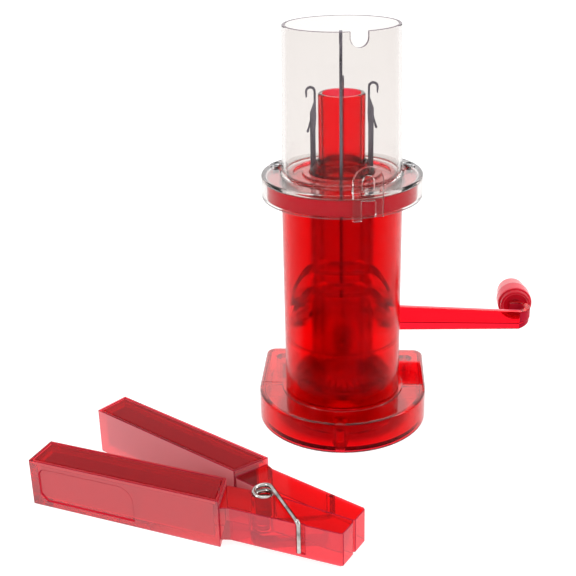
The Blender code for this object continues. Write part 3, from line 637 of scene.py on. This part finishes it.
def yarn_guide():
    """The arched plate with an eye, on a lug over the cover's flange."""
    outline = [(-2.7, EYE_FOOT), (-2.7, 103.6), (-EYE_HALF, 103.6)]
    outline += arc((0, 119.2), EYE_HALF, 180, 0, 28)
    outline += [(EYE_HALF, 104.8), (3.1, 104.8), (3.1, EYE_FOOT)]
    lug = box((31.0, -5.6, LUG_LOW), (34.7, 5.6, 115.6))
    hole = [(2.4, 116.0)] + arc((0, 119.4), 2.4, 0, 180, 18) + [(-2.4, 116.0)]
    plate = upright(outline, EYE_FACE, EYE_BACK)
    piece("yarn_eye", plate, YARN, CLEAR, "housing", ["yarn_guide"],
          lug, upright(hole, 34.1, 40.0), edge=0.3)


# ---- rotor --------------------------------------------------------------------------------------

BED_R = 13.5
BED_BORE_R = 10.0
BED_LOW = 17.2
SPOOL_R = 9.73
SPOOL_BORE_R = 7.83
SPOOL_LOW = 5.0
SPOOL_TOP = 147.35


def rotor():
    """The needle bed with its four grooves, and the hollow spool inside it."""
    bed = rounded(
        [(BED_BORE_R, BED_LOW), (BED_R, BED_LOW), (BED_R, 115.5), (12.7, 116.3), (10.9, 118.8),
         (BED_BORE_R, 119.0)],
        [0.2, 0.3, 0.4, 0.6, 0.3, 0.1], 3,
    )
    grooves = []
    for turn in (0, 90, 180, 270):
        groove = box((10.6, -0.9, 39.5), (15.0, 0.9, 125.0))
        grooves.append(moved(groove, Matrix.Rotation(math.radians(turn), 4, "Z")))
    piece("spool_bed", lathe(bed, 96), SPOOL, DEEP_RED, "rotor", ["needle_bed"],
          None, joined(grooves))
    spool = rounded(
        [(SPOOL_BORE_R, SPOOL_LOW), (SPOOL_R, SPOOL_LOW), (SPOOL_R, SPOOL_TOP), (SPOOL_BORE_R, SPOOL_TOP)],
        [0.3, 0.3, 0.75, 0.75], 5,
    )
    piece("spool_tube", lathe(spool, 96), SPOOL, RED, "rotor", ["centre_tube"])


# ---- crank --------------------------------------------------------------------------------------

ARM_LONG = 83.9
ARM_MIDDLE = 40.5
ARM_THICK = 3.0
CURL_R = 4.0


def arm_heights(along, curl):
    """The strap's top edge, bottom edge and ridge at a share of its length, in the crank's frame."""
    top = -(6.9 - 2.9 * along) - 1.2 * curl
    bottom = 6.9 - 1.7 * along - 4.2 * math.sin(curl * math.pi / 2)
    return top, bottom, top + (bottom - top) * 0.66


def arm_sections():
    """Upright sections of the strap in the crank's frame: straight, then curled back on itself.

    A fine groove runs along the front face, and fades out on the curl.
    """
    half = ARM_THICK / 2
    stations = [((ARM_LONG * i / 12, ARM_MIDDLE), (0, -1), 0.0) for i in range(13)]
    for i in range(1, 17):
        a = math.radians(-90 + 180 * i / 16)
        out = (math.cos(a), math.sin(a))
        stations.append(((ARM_LONG + CURL_R * out[0], ARM_MIDDLE + CURL_R + CURL_R * out[1]), out, i / 16))
    stations.append(((ARM_LONG - 4.0, ARM_MIDDLE + 2 * CURL_R), (0, 1), 1.0))
    sections = []
    for (x, z), (nx, nz), curl in stations:
        along = min(x / ARM_LONG, 1.0) if curl == 0 else 1.0
        top, bottom, ridge = arm_heights(along, curl)
        flat = rounded([(half, top), (-half, top), (-half, bottom), (half - 0.4, bottom)], 0.5, 3)
        deep = 0.8 * (1 - min(curl * 4, 1))
        profile = flat + [(half - 0.4, ridge + 0.3), (half - max(deep, 0.35), ridge + 0.15),
                          (half - deep, ridge - 0.15), (half, ridge - 0.3)]
        sections.append([(x + nx * d, y, z + nz * d) for d, y in profile])
    return sections


def crank():
    """The arm on its hub with painted shade on its curl and in its groove, the knob in its three tones with
    painted shade on its near face, and the screw.
    """
    hub = rounded([(0, 37.4), (8.6, 37.4), (8.6, 42.0), (0, 42.0)], [0, 0.5, 0.7, 0], closed=False)
    strap = piece("crank_strap", loft(arm_sections()), CRANK, RED, "crank", ["crank_arm"],
                  lathe(hub, 64), rod(2.7, 30.0, 50.0), rim=CLIP_EDGE_SHADE)
    strap.data.materials.append(CURL_SHADE_RED)
    for face, at, facing in local_faces(strap, CRANK):
        # The curl's faces get painted shade.
        if at.x > ARM_LONG - 2.0 and abs(facing.y) < 0.5 and facing.z < 0.3:
            face.material_index = 2
        # Faces in the groove get the painted shade of the clip's edges.
        ridge = arm_heights(at.x / ARM_LONG, 0.0)[2]
        if 10.0 < at.x < ARM_LONG and abs(at.y - ridge) < 0.31 and at.z < ARM_MIDDLE - 0.1:
            face.material_index = 1
    profile = rounded(
        [(2.3, 51.9), (5.6, 51.9), (5.9, 50.8), (7.1, 50.8), (7.4, 53.6), (8.2, 53.8), (8.2, 60.8),
         (7.0, 61.4), (6.8, 70.8), (4.2, 70.8), (4.2, 68.6), (2.3, 68.6), (2.3, 64.6), (5.9, 64.6),
         (5.9, 53.4), (2.3, 53.4)],
        [0.2, 0.2, 0.4, 0.35, 0.2, 0.5, 0.4, 0.3, 1.0, 0.3, 0.1, 0.2, 0.2, 0.4, 0.3, 0.2], 3,
    )
    knob = CRANK @ Matrix.Translation((83.3, -2.2, 0))
    grip = piece("crank_grip", lathe(profile, 80), knob, KNOB_RED, "knob", ["crank_knob"])
    grip.data.materials.append(KNOB_FACE_SHADE)
    grip.data.materials.append(KNOB_PALE)
    for face, at, _ in local_faces(grip, knob):
        on_ring = 5.6 < at.xy.length < 6.3 and at.z < 51.7
        # The near face gets painted shade, all but the ring round its bore.
        if at.z < 53.7 and not on_ring:
            face.material_index = 1
        elif at.z > 61.0:
            face.material_index = 2
    screw("crank_bolt", CRANK, 34.0, 42.3, "crank_screw", "crank", shank=1.2, head=3.4, high=1.7)


# ---- clip ---------------------------------------------------------------------------------------

# The clip's frame has its origin on the coil's axis, X along the closed jaws and Z up.
COIL_ROOM_R = 4.75
SPREAD = math.radians(8.7)
SHOULDER = (-8.4, 17.3)
INNER_SHOULDER = (-14.7, 2.6)
WAIST = (-5.2, 15.2)
HANDLE_LONG = 82.4
HANDLE_WIDE = 15.45
CLIP_HIGH = 20.0
JAW_TIP = 38.4
JAW_LOW = 3.0
JAW_HIGH = 17.0


def handle_outline():
    away = Vector((-math.cos(SPREAD), math.sin(SPREAD)))
    out = Vector((math.sin(SPREAD), math.cos(SPREAD)))
    end = Vector(SHOULDER) + away * HANDLE_LONG
    return [tuple(end), tuple(end - out * HANDLE_WIDE), INNER_SHOULDER, SHOULDER]


def jaw_outline():
    inner, outer = Vector(INNER_SHOULDER), Vector(SHOULDER)
    along = (outer - inner).normalized()
    back = Vector((-along.y, along.x)) * 1.5
    root = [tuple(outer + back - along), tuple(inner + back + along)]
    mouth = [(-13.5, 2.7), (0.0, 0.6), (5.4, 0.15), (JAW_TIP - 0.8, 0.15), (JAW_TIP, 0.9)]
    return root + mouth + [(JAW_TIP, 8.3), (JAW_TIP - 0.8, 9.1), WAIST, (-8.0, 16.6)]


def thumb_recess():
    """The shallow panel in a handle's outer side, with one large round corner."""
    long, low, high, corner, small = 42.0, 2.6, 16.8, 6.5, 3.0
    outline = [(0.0, low + small), (small, low), (long, low)]
    outline += arc((long - corner, high - corner), corner, 0, 90, 14)
    outline += arc((small, high - small), small, 90, 180, 8)
    plate = loft([[(x, y, z) for x, z in outline] for y in (-0.6, 3.0)])
    start = Vector(handle_outline()[0])
    place = Matrix.Translation((start.x, start.y, 0)) @ Matrix.Rotation(-SPREAD, 4, "Z")
    return moved(plate, place @ Matrix.Translation((4.0, 0, 0)))


def clip_half(name, side):
    """One handle with its jaw, its weight and its lid. side is 1 behind, or -1 in front."""
    place = CLIP @ Matrix.Scale(side, 4, (0, 1, 0))
    body = f"clip_{name}"
    outline = handle_outline()

    def wall(distance, z):
        return level(inset(outline, distance), z)

    inside = [wall(2.4, 2.4), wall(2.4, 17.6), wall(1.2, 17.6), wall(1.2, CLIP_HIGH)]
    cup = loft(inside + [wall(0, CLIP_HIGH), wall(0, 0)])
    coil_room = rod(COIL_ROOM_R, -1.0, 25.0, 48)
    low, high = (-1.0, 15.5) if side > 0 else (4.5, 25.0)
    leg_slot = box((21.0, 10.5, low), (24.2, 15.0, high))
    cuts = joined([coil_room, leg_slot, thumb_recess()])
    # Its rounded edges get the painted shade.
    shell = piece(f"clip_shell_{name}", cup, place, CLIP_RED, body, [f"clip_arm_{name}"],
                  prism(jaw_outline(), JAW_LOW, JAW_HIGH), cuts, edge=0.35, rim=CLIP_EDGE_SHADE)
    shell.data.materials.append(JAW_RED)
    shell.data.materials.append(CLIP_REFLECTION)
    for face, at, facing in local_faces(shell, place):
        # Jaw faces get their copy of the milk and painted reflection.
        if face.material_index == 0 and at.x > -6.0:
            face.material_index = 2
        # The inner side that faces the other handle gets the painted reflection.
        elif face.material_index == 0 and facing.y < -0.5:
            face.material_index = 3
    lid = loft([wall(1.5, 17.9), wall(1.5, 19.7), wall(1.8, 19.9)])
    piece(f"clip_cap_{name}", lid, place, LID_RED, body, [f"clip_lid_{name}"], edge=0.2)
    block = loft([wall(2.7, 2.7), wall(2.7, 15.6), wall(3.9, 17.3)])
    piece(f"clip_block_{name}", block, place, BLOCK, body, [f"clip_weight_{name}"], edge=0.4)


def wire(name, route, body, nodes):
    """Round spring wire along a route in the clip's frame."""
    curve = bpy.data.curves.new(name, "CURVE")
    curve.dimensions = "3D"
    curve.bevel_depth = 0.85 * MM
    curve.bevel_resolution = 4
    curve.use_fill_caps = True
    spline = curve.splines.new("POLY")
    spline.points.add(len(route) - 1)
    for point, at in zip(spline.points, route):
        point.co = (*((CLIP @ Vector(at)) * MM), 1.0)
    curve.materials.append(SPRING)
    made = bpy.data.objects.new(name, curve)
    bpy.context.scene.collection.objects.link(made)
    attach(made, body)
    if nodes:
        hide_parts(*nodes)


COIL_R = 3.45
COIL_LOW = 1.75
COIL_TOP = 18.1
COIL_TURNS = 6.7
COIL_STEPS = 268
LEG_X = 22.4
LEG_Y = 12.0
BEND_R = 1.6


def leg_bend(flip, flat):
    """A leg's bend from upright to flat, at the height flat. flip is 1 behind, or -1 in front."""
    inwards = Vector((-0.88, -0.47))
    points = []
    for i in range(7):
        a = math.radians(15 * i)
        across = inwards * (BEND_R * (1 - math.cos(a)))
        rise = BEND_R * (1 - math.sin(a))
        points.append((LEG_X + across.x, flip * (LEG_Y + across.y), flat + flip * rise))
    return points


def spring():
    """The coil is split at its middle, so that each leg can ride with its own half of the clip."""
    swing = math.acos(COIL_R / math.hypot(LEG_X, LEG_Y)) - math.atan2(LEG_Y, LEG_X)
    coil = []
    for i in range(COIL_STEPS + 1):
        angle = -swing - 2 * math.pi * COIL_TURNS * i / COIL_STEPS
        height = COIL_LOW + (COIL_TOP - COIL_LOW) * i / COIL_STEPS
        coil.append((COIL_R * math.cos(angle), COIL_R * math.sin(angle), height))
    rear = [(LEG_X, LEG_Y, 14.5)] + leg_bend(1, COIL_LOW)
    front = leg_bend(-1, COIL_TOP)[::-1] + [(LEG_X, -LEG_Y, 5.5)]
    half = COIL_STEPS // 2
    wire("spring_rear", rear + coil[: half + 2], "clip_rear", ["clip_spring"])
    wire("spring_front", coil[half:] + front, "clip_front", [])


# ---- carried-over nodes -------------------------------------------------------------------------


def repaint():
    """Gives the CAD nodes that still show their finishes."""
    finishes = {
        "lower_bearing": CLEAR,
        "crank_bushing": RED,
        "crown_gear": DEEP_RED,
        "crank_pinion": DEEP_RED,
        "crank_shaft": BRIGHT,
        "knob_pin": BRIGHT,
        "base_screw_front": BRIGHT,
        "base_screw_rear_left": BRIGHT,
        "base_screw_rear_right": BRIGHT,
    }
    for side in ("front", "left", "right", "back"):
        finishes[f"needle_{side}"] = NEEDLE
        finishes[f"latch_{side}"] = NEEDLE
    for node, finish in finishes.items():
        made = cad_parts[node]
        for slot in made.material_slots:
            slot.material = finish


# ---- light and camera ---------------------------------------------------------------------------


def softbox(name, at, aim, wide, high, power):
    lamp = bpy.data.lights.new(name, "AREA")
    lamp.shape = "RECTANGLE"
    lamp.size, lamp.size_y = wide, high
    lamp.energy = power
    made = bpy.data.objects.new(name, lamp)
    bpy.context.scene.collection.objects.link(made)
    made.location = at
    made.rotation_euler = (Vector(aim) - Vector(at)).to_track_quat("-Z", "Y").to_euler()


def studio():
    """A white floor that glows a little, an even pale sky and three soft boxes, placed in metres."""
    scene = bpy.context.scene
    scene.view_settings.view_transform = "Standard"
    scene.cycles.max_bounces = 28
    scene.cycles.transmission_bounces = 28
    scene.cycles.transparent_max_bounces = 16
    bm = bmesh.new()
    bmesh.ops.create_circle(bm, cap_ends=True, segments=64, radius=6000)
    floor = linked("floor", bm, Matrix.Translation((0, 0, -0.05)))
    made, _, base = shader("floor_white")
    base.inputs["Base Color"].default_value = (0.3, 0.3, 0.3, 1)
    base.inputs["Roughness"].default_value = 0.9
    base.inputs["Emission Color"].default_value = (1, 1, 1, 1)
    base.inputs["Emission Strength"].default_value = 0.88
    floor.data.materials.append(made)
    world = bpy.data.worlds.new("studio")
    scene.world = world
    world.use_nodes = True
    tree = world.node_tree
    place = tree.nodes.new("ShaderNodeTexCoord")
    split = tree.nodes.new("ShaderNodeSeparateXYZ")
    tree.links.new(place.outputs["Generated"], split.inputs["Vector"])
    sky = ramp(tree, split.outputs["Z"], [(0.0, 1.0), (0.4, 1.0), (0.7, 0.8), (1.0, 0.7)])
    tree.links.new(sky, tree.nodes["Background"].inputs["Color"])
    tree.nodes["Background"].inputs["Strength"].default_value = 1.12
    softbox("light_top", (0.1, 0.3, 1.4), (0, 0, 0), 0.9, 0.9, 5)
    softbox("light_left", (-1.0, -0.6, 0.8), (0, 0, 0.08), 0.35, 1.0, 4)
    softbox("light_right", (1.1, 0.0, 0.7), (0, 0, 0.08), 0.3, 0.9, 3)


def camera():
    """The camera, in metres: in front of the spool, looking down at 22 degrees."""
    yaw, pitch, roll = math.radians(-4.81), math.radians(22.37), math.radians(-1.34)
    ahead = Vector((math.sin(yaw) * math.cos(pitch), math.cos(yaw) * math.cos(pitch), -math.sin(pitch)))
    right = Vector((math.cos(yaw), -math.sin(yaw), 0))
    up = right.cross(ahead)
    across = right * math.cos(roll) + up * math.sin(roll)
    rise = up * math.cos(roll) - right * math.sin(roll)
    lens = bpy.data.cameras.new("camera")
    lens.lens = 64.61
    lens.sensor_width = 36
    lens.clip_start = 0.01
    made = bpy.data.objects.new("camera", lens)
    bpy.context.scene.collection.objects.link(made)
    turn = Matrix((across, rise, -ahead)).transposed().to_4x4()
    made.matrix_world = Matrix.Translation((0.01152, -0.442, 0.23435)) @ turn
    bpy.context.scene.camera = made


studio()
camera()
base()
tube()
inner_rings()
cover()
yarn_guide()
rotor()
crank()
clip_half("rear", 1)
clip_half("front", -1)
spring()
repaint()
